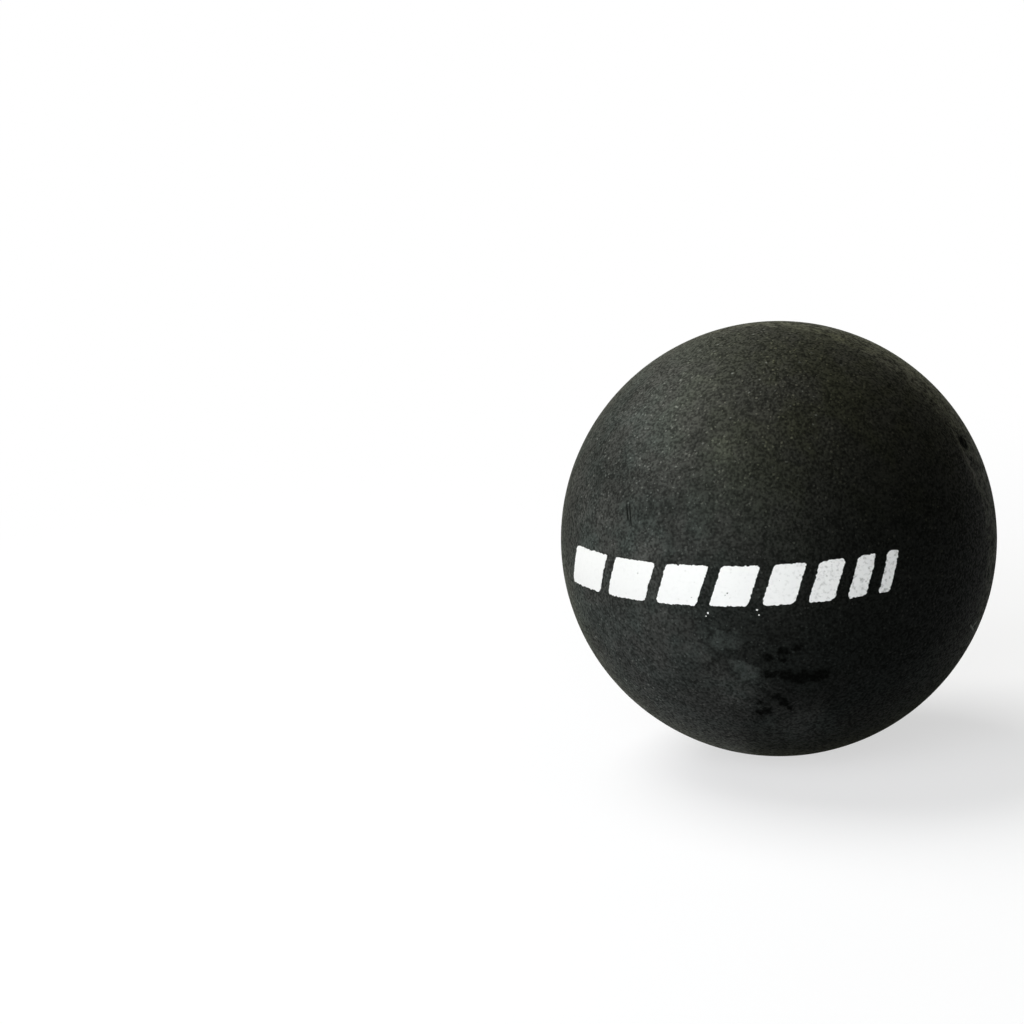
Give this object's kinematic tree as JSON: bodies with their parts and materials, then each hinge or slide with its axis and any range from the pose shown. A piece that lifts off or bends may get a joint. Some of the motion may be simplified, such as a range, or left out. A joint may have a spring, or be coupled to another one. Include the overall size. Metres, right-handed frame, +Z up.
{
  "type": "squash ball",
  "caption": "Hollow matt black rubber squash ball of bonded half shells, with a white printed row of leaning bars and small yellow speed dots.",
  "frame": {"origin": "middle of the ball", "axes": "+Z up; the printed row of bars is on the -Y side and the speed dots on the +Y side, so +Y is the axis through the poles of the two half shells; the seam lies in the XZ plane; +X is to the right when the print is looked at"},
  "size_m": [0.04, 0.04, 0.04],
  "materials": {
    "rubber": "matt, buffed, with a fine pale grain",
    "seam_adhesive": "dull, slightly smoother than the rubber",
    "white_ink": "matt pad-printed ink, pinholed and a little worn",
    "yellow_ink": "matt pad-printed ink"
  },
  "bodies": {
    "root": {"front_half": "rubber", "back_half": "rubber", "seam_adhesive": "seam_adhesive", "print_bar_1": "white_ink", "print_bar_2": "white_ink", "print_bar_3": "white_ink", "print_bar_4": "white_ink", "print_bar_5": "white_ink", "print_bar_6": "white_ink", "print_bar_7": "white_ink", "print_bar_8": "white_ink", "speed_dot_1": "yellow_ink", "speed_dot_2": "yellow_ink"}
  },
  "joints": []
}
